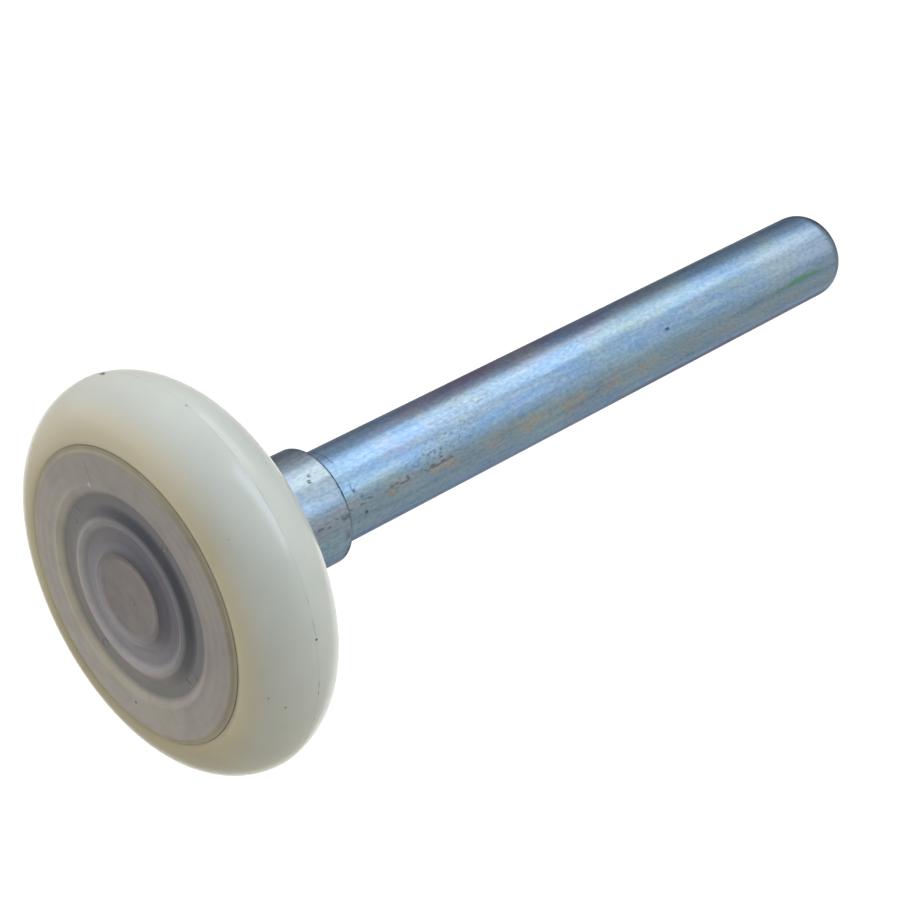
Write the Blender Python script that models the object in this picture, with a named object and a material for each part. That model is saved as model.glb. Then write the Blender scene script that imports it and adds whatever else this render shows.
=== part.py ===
"""Track roller for a sectional garage door: a crowned nylon wheel with a dust cap, turning on a shielded
deep groove ball bearing at the end of a long plain stem, with a spacer collar behind the wheel.

The stem lies along +Y. The origin is on its axis, in the plane of the collar's rear shoulder, so the wheel
is at negative Y and the free end of the stem at positive Y. Every length is in metres.
"""

import math

import bmesh
import bpy
from mathutils import Matrix

MM = 0.001
GAP = 0.3 * MM  # between pieces that touch on the real roller
RUNNING_GAP = 0.2 * MM  # between the rolling pieces inside the bearing

# Stem and collar
STEM_RADIUS = 5.55 * MM
STEM_REACH = 88.0 * MM  # from the collar's shoulder to the tip
TIP_ROUND_LENGTH = 2.7 * MM
TIP_ROUND_DEPTH = 1.9 * MM
COLLAR_RADIUS = 6.9 * MM
COLLAR_EDGE = 0.4 * MM
COLLAR_REACH = 19.15 * MM  # from the wheel's middle plane to the collar's shoulder

# Wheel
WHEEL_RADIUS = 22.85 * MM
TYRE_HALF_WIDTH = 5.9 * MM
CROWN_DEPTH = 5.1 * MM
CROWN_POWER = 1.83
LIP_RADIUS = 16.97 * MM
LIP_Y = -5.57 * MM
REAR_FACE_Y = 5.7 * MM
REAR_HOLE_RADIUS = 14.0 * MM

# Bearing: 10 mm bore, 30 mm outside, 9 mm wide
BEARING_Y = 0.3 * MM  # its middle plane, from the wheel's middle plane
BEARING_HALF_WIDTH = 4.5 * MM
OUTER_RING_RADIUS = 15.0 * MM
OUTER_SHOULDER_RADIUS = 11.6 * MM
SHIELD_SEAT_RADIUS = 13.2 * MM
SHIELD_SEAT_DEPTH = 1.2 * MM
INNER_SHOULDER_RADIUS = 8.4 * MM
BORE_RADIUS = 5.15 * MM
RING_CORNER = 0.5 * MM
PITCH_RADIUS = 10.0 * MM
BALL_RADIUS = 2.38 * MM
BALL_COUNT = 8
RACE_RADIUS = BALL_RADIUS + 0.25 * MM

# Shields
SHIELD_THICKNESS = 0.4 * MM
SHIELD_RECESS = 0.45 * MM
SHIELD_RADIUS = 12.95 * MM
SHIELD_HOLE_RADIUS = 8.75 * MM
SHIELD_RIM_WIDTH = 0.55 * MM
SHIELD_RIM_RECESS = 0.1 * MM
SHIELD_BEND = 0.35 * MM

# Cage
SHEET = 0.35 * MM
POCKET_STEPS = 8
POCKET_RADIUS = BALL_RADIUS + RUNNING_GAP
CAGE_HALF_WIDTH = 0.9 * MM
HALF_SPLIT = 0.15 * MM  # from the cage's middle plane to the inner face of each half
RIVET_RADIUS = 0.35 * MM
RIVET_HEAD_RADIUS = 0.8 * MM
RIVET_HEAD_HEIGHT = 0.3 * MM
RIVET_STEPS = 8
CUTTER_LENGTH = 4 * MM

# Dust cap, as radii and as heights above the plane of the tyre's lip
CAP_FLANGE_RADIUS = LIP_RADIUS - GAP
CAP_RADIUS = 16.43 * MM
CAP_PROUD = 0.55 * MM
CAP_SHEET = 0.6 * MM

# Stem end, swaged into the inner ring's countersink
JOURNAL_RADIUS = 4.9 * MM
SWAGE_RADIUS = 5.8 * MM
SWAGE_LENGTH = 0.9 * MM
SWAGE_SET_BACK = 0.05 * MM

ROUND_STEPS = 48
SMALL_STEPS = 32
CROWN_STEPS = 14
RACE_STEPS = 6
TIP_STEPS = 5
SMOOTH_ANGLE = math.radians(35)

NYLON = ((0.62, 0.62, 0.55), 0.38, 0.0)
CAP_PLASTIC = ((0.33, 0.30, 0.28), 0.35, 0.0)
ZINC = ((0.42, 0.52, 0.62), 0.32, 1.0)
RING_STEEL = ((0.50, 0.50, 0.52), 0.25, 1.0)
SHIELD_STEEL = ((0.38, 0.42, 0.47), 0.35, 1.0)
BALL_STEEL = ((0.60, 0.60, 0.62), 0.12, 1.0)
CAGE_STEEL = ((0.45, 0.43, 0.40), 0.40, 1.0)


def clear_scene():
    for obj in list(bpy.data.objects):
        bpy.data.objects.remove(obj, do_unlink=True)


def material(name, look):
    colour, roughness, metallic = look
    made = bpy.data.materials.new(name)
    made.use_nodes = True
    shader = made.node_tree.nodes["Principled BSDF"]
    shader.inputs["Base Color"].default_value = (*colour, 1.0)
    shader.inputs["Roughness"].default_value = roughness
    shader.inputs["Metallic"].default_value = metallic
    return made


def empty(name, y):
    made = bpy.data.objects.new(name, None)
    made.location = (0.0, y, 0.0)
    bpy.context.collection.objects.link(made)
    return made


def place(name, mesh, parent=None, location=(0.0, 0.0, 0.0)):
    obj = bpy.data.objects.new(name, mesh)
    obj.parent = parent
    obj.location = location
    bpy.context.collection.objects.link(obj)
    return obj


def finished_mesh(name, shape, look):
    """Turns a bmesh into a smooth shaded mesh with its own material."""
    bmesh.ops.recalc_face_normals(shape, faces=shape.faces)
    mesh = bpy.data.meshes.new(name)
    shape.to_mesh(mesh)
    shape.free()
    mesh.materials.append(material(name, look))
    mesh.shade_smooth()
    mesh.set_sharp_from_angle(angle=SMOOTH_ANGLE)
    return mesh


def turned_mesh(name, outline, look, steps=ROUND_STEPS):
    """Spins a closed outline of (radius, y) points about the Y axis."""
    shape = bmesh.new()
    verts = [shape.verts.new((radius, y, 0.0)) for radius, y in outline]
    ends = verts[1:] + verts[:1]
    edges = [shape.edges.new(pair) for pair in zip(verts, ends)]
    bmesh.ops.spin(
        shape,
        geom=verts + edges,
        axis=(0.0, 1.0, 0.0),
        cent=(0.0, 0.0, 0.0),
        steps=steps,
        angle=math.tau,
        use_merge=True,
    )
    bmesh.ops.remove_doubles(shape, verts=shape.verts, dist=1e-7)
    on_axis = [e for e in shape.edges if not e.link_faces]
    bmesh.ops.delete(shape, geom=on_axis, context="EDGES")
    return finished_mesh(name, shape, look)


def arc(centre, radius, start, end, steps):
    """Points on an arc in the (radius, y) plane; angles in degrees from the outward direction."""
    points = []
    for i in range(steps + 1):
        angle = math.radians(start + (end - start) * i / steps)
        points.append((centre[0] + radius * math.cos(angle), centre[1] + radius * math.sin(angle)))
    return points


def mirrored(half):
    """An outline that is the same on both sides of y = 0, from its half with y > 0."""
    return half + [(radius, -y) for radius, y in reversed(half)]


def crown_outline():
    """The tread's curved section, front to rear, as a rounded superellipse."""
    points = []
    for i in range(CROWN_STEPS + 1):
        angle = math.pi * (i / CROWN_STEPS - 0.5)
        y = math.copysign(abs(math.sin(angle)) ** (2 / CROWN_POWER), angle) * TYRE_HALF_WIDTH
        rise = abs(math.cos(angle)) ** (2 / CROWN_POWER) * CROWN_DEPTH
        points.append((WHEEL_RADIUS - CROWN_DEPTH + rise, y))
    return points


def make_tyre(wheel):
    bearing_front = BEARING_Y - BEARING_HALF_WIDTH
    bearing_rear = BEARING_Y + BEARING_HALF_WIDTH
    bore = OUTER_RING_RADIUS + GAP
    crown = crown_outline()
    lip_fall = LIP_Y + TYRE_HALF_WIDTH
    lip_width = crown[0][0] - LIP_RADIUS
    lip = [
        (LIP_RADIUS, LIP_Y),
        (LIP_RADIUS + 0.15 * lip_width, LIP_Y - 0.5 * lip_fall),
        (LIP_RADIUS + 0.5 * lip_width, LIP_Y - 0.87 * lip_fall),
    ]
    rear = [
        (LIP_RADIUS, REAR_FACE_Y),
        (REAR_HOLE_RADIUS, REAR_FACE_Y),
        (REAR_HOLE_RADIUS, bearing_rear + GAP),
        (bore, bearing_rear + GAP),
    ]
    recess = [(bore, bearing_front), (LIP_RADIUS, bearing_front)]
    place("tyre", turned_mesh("tyre", lip + crown + rear + recess, NYLON), wheel)


def make_dust_cap(wheel):
    back = BEARING_Y - BEARING_HALF_WIDTH - GAP
    front = LIP_Y - CAP_PROUD

    def at(radius_mm, height_mm):
        return (radius_mm * MM, LIP_Y - height_mm * MM)

    flange = [
        (CAP_FLANGE_RADIUS, back),
        (CAP_FLANGE_RADIUS, back - CAP_SHEET),
        (CAP_RADIUS, back - CAP_SHEET),
        (CAP_RADIUS, front + 0.08 * MM),
        (CAP_RADIUS - 0.1 * MM, front),
    ]
    annulus = [at(12.9, 0.5), at(12.65, 0.56), at(12.35, 0.46)]
    groove = [at(11.5, 0.0), at(10.2, -0.02)]
    ring = [at(8.95, 0.54), at(8.6, 0.63), at(8.25, 0.52)]
    floor = [at(7.6, 0.14), at(6.4, 0.14)]
    boss = [at(5.5, 0.74), at(5.2, 0.83), at(4.9, 0.76), at(4.1, 0.6), at(0.0, 0.58)]
    inside = [
        at(0.0, -0.04),
        at(4.1, -0.02),
        at(5.0, 0.16),
        at(5.3, 0.14),
        at(6.2, -0.48),
        at(7.75, -0.48),
        at(8.4, -0.06),
        at(8.8, -0.06),
        at(10.1, -0.64),
        at(11.7, -0.62),
        (11.9 * MM, back),
    ]
    outline = flange + annulus + groove + ring + floor + boss + inside
    place("dust_cap", turned_mesh("dust_cap", outline, CAP_PLASTIC), wheel)


def ring_groove(shoulder_radius):
    """The ball race of a ring, from its rear shoulder to its front shoulder."""
    side = 1 if shoulder_radius > PITCH_RADIUS else -1
    reach = math.degrees(math.acos(abs(shoulder_radius - PITCH_RADIUS) / RACE_RADIUS))
    points = arc((0.0, 0.0), RACE_RADIUS, reach, -reach, RACE_STEPS)
    return [(PITCH_RADIUS + side * out, y) for out, y in points]


def make_outer_ring(wheel):
    corner = BEARING_HALF_WIDTH - RING_CORNER
    seat = BEARING_HALF_WIDTH - SHIELD_SEAT_DEPTH
    rear = [
        (OUTER_RING_RADIUS, corner),
        (OUTER_RING_RADIUS - RING_CORNER, BEARING_HALF_WIDTH),
        (SHIELD_SEAT_RADIUS, BEARING_HALF_WIDTH),
        (SHIELD_SEAT_RADIUS, seat),
        (OUTER_SHOULDER_RADIUS, seat),
    ]
    front = [(radius, -y) for radius, y in reversed(rear)]
    outline = rear + ring_groove(OUTER_SHOULDER_RADIUS) + front
    place("outer_ring", turned_mesh("outer_ring", outline, RING_STEEL), wheel, (0.0, BEARING_Y, 0.0))


def make_inner_ring(y):
    half = BEARING_HALF_WIDTH
    corner = half - RING_CORNER
    sink_depth = SWAGE_LENGTH + 0.1 * MM
    sink_radius = SWAGE_RADIUS + 0.25 * MM
    outline = [
        (BORE_RADIUS, corner),
        (BORE_RADIUS + RING_CORNER, half),
        (INNER_SHOULDER_RADIUS - RING_CORNER, half),
        (INNER_SHOULDER_RADIUS, corner),
        *ring_groove(INNER_SHOULDER_RADIUS),
        (INNER_SHOULDER_RADIUS, -corner),
        (INNER_SHOULDER_RADIUS - RING_CORNER, -half),
        (sink_radius, -half),
        (BORE_RADIUS, -half + sink_depth),
    ]
    mesh = turned_mesh("inner_ring", outline, RING_STEEL, SMALL_STEPS)
    place("inner_ring", mesh, None, (0.0, y, 0.0))


def make_shields(wheel):
    """Pressed discs with a curled rim in the outer ring and a turned-in edge at the inner ring."""
    face = BEARING_HALF_WIDTH
    outer = face - SHIELD_RECESS
    inner = outer - SHIELD_THICKNESS
    rim = face - SHIELD_RIM_RECESS
    lip = inner - SHIELD_THICKNESS
    outline = [
        (SHIELD_RADIUS, rim),
        (SHIELD_RADIUS, inner),
        (SHIELD_HOLE_RADIUS + 2 * SHIELD_BEND, inner),
        (SHIELD_HOLE_RADIUS + SHIELD_BEND, lip),
        (SHIELD_HOLE_RADIUS, lip),
        (SHIELD_HOLE_RADIUS, inner),
        (SHIELD_HOLE_RADIUS + SHIELD_BEND, outer),
        (SHIELD_RADIUS - SHIELD_RIM_WIDTH - SHIELD_BEND, outer),
        (SHIELD_RADIUS - SHIELD_RIM_WIDTH, rim),
    ]
    for name, side in (("rear_shield", 1), ("front_shield", -1)):
        points = [(radius, side * y) for radius, y in outline]
        mesh = turned_mesh(name, points, SHIELD_STEEL, SMALL_STEPS)
        place(name, mesh, wheel, (0.0, BEARING_Y, 0.0))


def on_pitch_circle(index):
    """The place of the ball of this index; a half index is the place between two balls."""
    turn = Matrix.Rotation(math.tau * index / BALL_COUNT, 4, "Y")
    return turn @ Matrix.Translation((PITCH_RADIUS, 0.0, 0.0))


def make_balls(centre):
    shape = bmesh.new()
    bmesh.ops.create_uvsphere(shape, u_segments=12, v_segments=8, radius=BALL_RADIUS)
    mesh = finished_mesh("ball", shape, BALL_STEEL)
    for i in range(BALL_COUNT):
        place(f"ball_{i + 1}", mesh, centre, on_pitch_circle(i).translation)


def pocket_section():
    """The sheet over one ball: pairs of points on its inner and outer faces, each as the distance round
    the pitch circle from the ball's centre and the height above the cage's middle plane."""
    outer_radius = POCKET_RADIUS + SHEET
    inner_start = math.asin(HALF_SPLIT / POCKET_RADIUS)
    outer_start = math.asin((HALF_SPLIT + SHEET) / outer_radius)
    pairs = []
    for i in range(POCKET_STEPS + 1):
        inner = inner_start + (math.pi - 2 * inner_start) * i / POCKET_STEPS
        outer = outer_start + (math.pi - 2 * outer_start) * i / POCKET_STEPS
        near = (POCKET_RADIUS * math.cos(inner), POCKET_RADIUS * math.sin(inner))
        far = (outer_radius * math.cos(outer), outer_radius * math.sin(outer))
        pairs.append((near, far))
    return pairs


def ribbon_shape(side):
    """A cage half as a wavy ring whose pockets bulge over the balls, to one side of y = 0."""
    shape = bmesh.new()
    sections = []
    for index in range(BALL_COUNT):
        middle = math.tau * index / BALL_COUNT
        for near, far in pocket_section():
            corners = []
            for radius in (PITCH_RADIUS - CAGE_HALF_WIDTH, PITCH_RADIUS + CAGE_HALF_WIDTH):
                for along, y in (near, far):
                    angle = middle - along / PITCH_RADIUS
                    x, z = radius * math.cos(angle), radius * math.sin(angle)
                    corners.append(shape.verts.new((x, side * y, z)))
            sections.append([corners[0], corners[1], corners[3], corners[2]])
    for here, there in zip(sections, sections[1:] + sections[:1]):
        for k in range(4):
            nxt = (k + 1) % 4
            shape.faces.new((here[k], here[nxt], there[nxt], there[k]))
    return shape


def make_hole_cutter(name, centre):
    """All the cage's rivet holes as one guide object."""
    shape = bmesh.new()
    along_y = Matrix.Rotation(math.pi / 2, 4, "X")
    for i in range(BALL_COUNT):
        bmesh.ops.create_cone(
            shape,
            cap_ends=True,
            segments=RIVET_STEPS,
            radius1=RIVET_RADIUS + RUNNING_GAP,
            radius2=RIVET_RADIUS + RUNNING_GAP,
            depth=CUTTER_LENGTH,
            matrix=on_pitch_circle(i + 0.5) @ along_y,
        )
    cutter = place(name, finished_mesh(name, shape, CAGE_STEEL), centre)
    cutter.hide_render = True
    cutter.display_type = "WIRE"
    return cutter


def make_cage(centre):
    cutter = make_hole_cutter("rivet_holes", centre)
    for name, side in (("cage_rear", 1), ("cage_front", -1)):
        half = place(name, finished_mesh(name, ribbon_shape(side), CAGE_STEEL), centre)
        holes = half.modifiers.new("rivet_holes", "BOOLEAN")
        holes.operation = "DIFFERENCE"
        holes.object = cutter


def make_rivets(centre):
    head = HALF_SPLIT + SHEET + RUNNING_GAP
    top = head + RIVET_HEAD_HEIGHT
    half = [
        (0.0, top),
        (0.5 * RIVET_HEAD_RADIUS, top),
        (RIVET_HEAD_RADIUS, head + 0.4 * RIVET_HEAD_HEIGHT),
        (RIVET_HEAD_RADIUS, head),
        (RIVET_RADIUS, head),
    ]
    mesh = turned_mesh("cage_rivet", mirrored(half), CAGE_STEEL, RIVET_STEPS)
    for i in range(BALL_COUNT):
        place(f"cage_rivet_{i + 1}", mesh, centre, on_pitch_circle(i + 0.5).translation)


def make_collar():
    front = -COLLAR_REACH + BEARING_Y + BEARING_HALF_WIDTH + GAP
    bore = STEM_RADIUS + GAP
    outline = [
        (bore, front),
        (COLLAR_RADIUS - COLLAR_EDGE, front),
        (COLLAR_RADIUS, front + COLLAR_EDGE),
        *arc((COLLAR_RADIUS - COLLAR_EDGE, -COLLAR_EDGE), COLLAR_EDGE, 0, 90, 3),
        (bore, 0.0),
    ]
    place("collar", turned_mesh("collar", outline, ZINC, SMALL_STEPS))


def make_stem():
    bearing_middle = -COLLAR_REACH + BEARING_Y
    front = bearing_middle - BEARING_HALF_WIDTH + SWAGE_SET_BACK
    shoulder = bearing_middle + BEARING_HALF_WIDTH + GAP
    outline = [
        (0.0, front),
        (SWAGE_RADIUS, front),
        (JOURNAL_RADIUS, front + SWAGE_LENGTH),
        (JOURNAL_RADIUS, shoulder),
        (STEM_RADIUS, shoulder),
    ]
    for i in range(TIP_STEPS + 1):
        angle = math.pi / 2 * i / TIP_STEPS
        radius = STEM_RADIUS - TIP_ROUND_DEPTH * (1 - math.cos(angle))
        outline.append((radius, STEM_REACH - TIP_ROUND_LENGTH * (1 - math.sin(angle))))
    outline.append((0.0, STEM_REACH))
    place("stem", turned_mesh("stem", outline, ZINC, SMALL_STEPS))


def main():
    clear_scene()
    wheel = empty("wheel_axis", -COLLAR_REACH)
    bearing_middle = BEARING_Y - COLLAR_REACH
    ball_set = empty("ball_set_axis", bearing_middle)
    make_tyre(wheel)
    make_dust_cap(wheel)
    make_outer_ring(wheel)
    make_shields(wheel)
    make_inner_ring(bearing_middle)
    make_balls(ball_set)
    make_cage(ball_set)
    make_rivets(ball_set)
    make_collar()
    make_stem()


main()
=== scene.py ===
"""The looks of a garage door track roller: every turned piece again at full smoothness, with its finish,
on a pale floor in soft studio light. Lengths are in metres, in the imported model's own frame: the stem lies
along +Y, with the origin on its axis at the collar's shoulder.
"""

import math

import bmesh
import bpy
from mathutils import Matrix, Vector


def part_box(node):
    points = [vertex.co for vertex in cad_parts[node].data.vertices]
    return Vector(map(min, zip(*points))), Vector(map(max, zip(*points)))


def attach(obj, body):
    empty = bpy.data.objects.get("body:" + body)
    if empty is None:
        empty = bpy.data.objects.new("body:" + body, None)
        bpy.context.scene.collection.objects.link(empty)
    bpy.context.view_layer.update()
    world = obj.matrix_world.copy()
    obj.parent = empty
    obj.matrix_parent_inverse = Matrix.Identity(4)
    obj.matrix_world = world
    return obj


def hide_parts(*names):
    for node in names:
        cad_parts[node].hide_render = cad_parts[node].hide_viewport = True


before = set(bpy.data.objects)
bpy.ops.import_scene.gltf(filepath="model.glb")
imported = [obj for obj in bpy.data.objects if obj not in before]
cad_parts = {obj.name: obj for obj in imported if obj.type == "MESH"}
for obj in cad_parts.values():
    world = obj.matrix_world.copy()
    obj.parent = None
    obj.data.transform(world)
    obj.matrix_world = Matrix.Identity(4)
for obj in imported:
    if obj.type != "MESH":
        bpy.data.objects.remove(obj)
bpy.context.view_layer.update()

MM = 0.001
FINE_STEPS = 288
RING_STEPS = 192
SMALL_STEPS = 48
RACE_STEPS = 24
SHARP_ANGLE = math.radians(32)
TINY = 1e-9


# ---------------------------------------------------------------- places and sizes, from the frame


def middle_y(node):
    low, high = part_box(node)
    return (low.y + high.y) / 2


def radius_of(node):
    low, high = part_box(node)
    return (high.x - low.x) / 2


TYRE_LOW, TYRE_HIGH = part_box("tyre")
WHEEL_Y = middle_y("tyre")
WHEEL_RADIUS = radius_of("tyre")
TYRE_HALF_WIDTH = (TYRE_HIGH.y - TYRE_LOW.y) / 2
BEARING_Y = middle_y("outer_ring")
BEARING_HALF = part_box("outer_ring")[1].y - BEARING_Y
RING_RADIUS = radius_of("outer_ring")
CAP_FLANGE_RADIUS = radius_of("dust_cap")
LIP_RADIUS = CAP_FLANGE_RADIUS + 0.3 * MM
LIP_Y = WHEEL_Y - 5.57 * MM
COLLAR_LOW, COLLAR_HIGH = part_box("collar")
COLLAR_RADIUS = radius_of("collar")
STEM_LOW, STEM_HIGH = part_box("stem")
STEM_RADIUS = 5.55 * MM
JOURNAL_RADIUS = 4.95 * MM
SWAGE_RADIUS = radius_of("stem")
PITCH_RADIUS = 10 * MM
BALL_RADIUS = radius_of("ball_1")
BALL_COUNT = 8
CAGE_SHEET = 0.35 * MM


# ---------------------------------------------------------------- mesh making


def rounded(points, corner, steps=4):
    """A closed outline with every corner rounded. corner is one radius, or one for each point."""
    corners = corner if isinstance(corner, list) else [corner] * len(points)
    made = []
    count = len(points)
    for i in range(count):
        here = Vector(points[i])
        back = Vector(points[i - 1]) - here
        ahead = Vector(points[(i + 1) % count]) - here
        turn = math.pi - back.angle(ahead)
        if corners[i] <= 0 or turn < math.radians(3) or here.x < TINY:
            made.append((here.x, here.y))
            continue
        reach = corners[i] * math.tan(turn / 2)
        reach = min(reach, 0.48 * back.length, 0.48 * ahead.length)
        start = here + back.normalized() * reach
        end = here + ahead.normalized() * reach
        for k in range(steps + 1):
            t = k / steps
            point = start * (1 - t) ** 2 + here * 2 * t * (1 - t) + end * t**2
            made.append((point.x, point.y))
    return made


def object_from(name, shape, body, replaced=None):
    """Makes a smooth shaded object that rides on a body and may stand for CAD nodes."""
    bmesh.ops.recalc_face_normals(shape, faces=shape.faces)
    mesh = bpy.data.meshes.new(name)
    shape.to_mesh(mesh)
    shape.free()
    mesh.shade_smooth()
    mesh.set_sharp_from_angle(angle=SHARP_ANGLE)
    return placed(name, mesh, body, replaced)


def placed(name, mesh, body, replaced=None, where=None):
    obj = bpy.data.objects.new(name, mesh)
    bpy.context.scene.collection.objects.link(obj)
    if where is not None:
        obj.matrix_world = where
    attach(obj, body)
    if replaced:
        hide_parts(replaced)
    return obj


def turned(outline, steps):
    """A closed outline of (radius, y) points, turned about the Y axis."""
    shape = bmesh.new()
    rings = []
    for radius, y in outline:
        if radius < TINY:
            rings.append([shape.verts.new((0.0, y, 0.0))])
            continue
        ring = []
        for k in range(steps):
            angle = math.tau * k / steps
            ring.append(shape.verts.new((radius * math.cos(angle), y, -radius * math.sin(angle))))
        rings.append(ring)
    for here, there in zip(rings, rings[1:] + rings[:1]):
        if len(here) == 1 and len(there) == 1:
            continue
        for k in range(steps):
            nxt = (k + 1) % steps
            near_edge = [here[k % len(here)], here[nxt % len(here)]]
            far_edge = [there[nxt % len(there)], there[k % len(there)]]
            shape.faces.new(list(dict.fromkeys(near_edge + far_edge)))
    return shape


def arc(centre, radius, start, end, steps):
    points = []
    for i in range(steps + 1):
        angle = math.radians(start + (end - start) * i / steps)
        points.append((centre[0] + radius * math.cos(angle), centre[1] + radius * math.sin(angle)))
    return points


def shifted(outline, y):
    return [(radius, point_y + y) for radius, point_y in outline]


# ---------------------------------------------------------------- materials


def paint(red, green, blue):
    """A display colour from 0 to 255, as the linear colour that shaders use."""
    linear = []
    for value in (red, green, blue):
        v = value / 255
        linear.append(v / 12.92 if v <= 0.04045 else ((v + 0.055) / 1.055) ** 2.4)
    return (*linear, 1.0)


class Finish:
    """A material with a Principled shader, and short calls that add nodes to it."""

    def __init__(self, name, roughness=0.4, metallic=0.0, **constants):
        self.material = bpy.data.materials.new(name)
        self.material.use_nodes = True
        self.tree = self.material.node_tree
        self.shader = self.tree.nodes["Principled BSDF"]
        self.shader.inputs["Roughness"].default_value = roughness
        self.shader.inputs["Metallic"].default_value = metallic
        for socket, value in constants.items():
            self.shader.inputs[socket.replace("_", " ")].default_value = value
        place = self.tree.nodes.new("ShaderNodeTexCoord")
        self.position = place.outputs["Object"]
        split = self.tree.nodes.new("ShaderNodeSeparateXYZ")
        self.tree.links.new(self.position, split.inputs[0])
        self.x, self.y, self.z = split.outputs
        squares = self.plus(self.times(self.x, self.x), self.times(self.z, self.z))
        self.radius = self.math("SQRT", squares)

    def feed(self, socket, value):
        if isinstance(value, bpy.types.NodeSocket):
            self.tree.links.new(value, socket)
        else:
            socket.default_value = value

    def math(self, operation, a, b=0.0):
        node = self.tree.nodes.new("ShaderNodeMath")
        node.operation = operation
        self.feed(node.inputs[0], a)
        self.feed(node.inputs[1], b)
        return node.outputs[0]

    def times(self, a, b):
        return self.math("MULTIPLY", a, b)

    def plus(self, a, b):
        return self.math("ADD", a, b)

    def minus(self, a, b):
        return self.math("SUBTRACT", a, b)

    def larger(self, a, b):
        return self.math("MAXIMUM", a, b)

    def between(self, value, low, high):
        """0 where value is at low, 1 where it is at high, smooth between; low may be the larger."""
        node = self.tree.nodes.new("ShaderNodeMapRange")
        node.interpolation_type = "SMOOTHSTEP"
        self.feed(node.inputs["Value"], value)
        node.inputs["From Min"].default_value = low
        node.inputs["From Max"].default_value = high
        return node.outputs["Result"]

    def band(self, value, centre, half_width, soft):
        """1 within half_width of centre, falling to 0 over soft."""
        distance = self.math("ABSOLUTE", self.minus(value, centre))
        return self.between(distance, half_width + soft, half_width)

    def stretched(self, along_x, along_y, along_z):
        node = self.tree.nodes.new("ShaderNodeMapping")
        self.feed(node.inputs["Vector"], self.position)
        node.inputs["Scale"].default_value = (along_x, along_y, along_z)
        return node.outputs[0]

    def noise(self, scale, detail=3.0, vector=None, distortion=0.0, rough=0.5):
        node = self.tree.nodes.new("ShaderNodeTexNoise")
        self.feed(node.inputs["Vector"], self.position if vector is None else vector)
        node.inputs["Scale"].default_value = scale
        node.inputs["Detail"].default_value = detail
        node.inputs["Roughness"].default_value = rough
        node.inputs["Distortion"].default_value = distortion
        return node.outputs["Fac"]

    def cells(self, scale):
        """Distance to the nearest of a set of scattered points."""
        node = self.tree.nodes.new("ShaderNodeTexVoronoi")
        self.feed(node.inputs["Vector"], self.position)
        node.inputs["Scale"].default_value = scale
        return node.outputs["Distance"]

    def ramp(self, value, stops, smooth=True):
        node = self.tree.nodes.new("ShaderNodeValToRGB")
        node.color_ramp.interpolation = "EASE" if smooth else "LINEAR"
        entries = node.color_ramp.elements
        while len(entries) < len(stops):
            entries.new(0.5)
        for entry, (at, colour) in zip(entries, stops):
            entry.position = at
            entry.color = colour
        self.feed(node.inputs[0], value)
        return node.outputs["Color"]

    def mix(self, amount, a, b):
        node = self.tree.nodes.new("ShaderNodeMix")
        node.data_type = "RGBA"
        node.blend_type = "MIX"
        self.feed(node.inputs["Factor"], amount)
        self.feed(node.inputs[6], a)
        self.feed(node.inputs[7], b)
        return node.outputs[2]

    def turn_from(self, degrees):
        """Degrees about the Y axis from a given direction, -180 to 180. 0 is along +X and 90 is up."""
        turn = math.radians(degrees)
        along = self.plus(self.times(self.x, math.cos(turn)), self.times(self.z, math.sin(turn)))
        across = self.minus(self.times(self.z, math.cos(turn)), self.times(self.x, math.sin(turn)))
        return self.times(self.math("ARCTAN2", across, along), math.degrees(1))

    def near(self, point, reach, soft):
        """1 around a point in the piece's own space."""
        node = self.tree.nodes.new("ShaderNodeVectorMath")
        node.operation = "DISTANCE"
        self.feed(node.inputs[0], self.position)
        node.inputs[1].default_value = point
        return self.between(node.outputs["Value"], reach + soft, reach)

    def bump(self, height, distance, under=None):
        node = self.tree.nodes.new("ShaderNodeBump")
        node.inputs["Strength"].default_value = 1.0
        node.inputs["Distance"].default_value = distance
        self.feed(node.inputs["Height"], height)
        if under is not None:
            self.tree.links.new(under, node.inputs["Normal"])
        return node.outputs[0]

    def finish(self, colour=None, roughness=None, normal=None):
        if colour is not None:
            self.feed(self.shader.inputs["Base Color"], colour)
        if roughness is not None:
            self.feed(self.shader.inputs["Roughness"], roughness)
        if normal is not None:
            self.feed(self.shader.inputs["Normal"], normal)
        return self.material


def wheel_point(angle, radius, y):
    """A point on the wheel: angle in degrees anticlockwise from +X seen from the capped face."""
    turn = math.radians(angle)
    return (radius * math.cos(turn), WHEEL_Y + y, radius * math.sin(turn))


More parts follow.
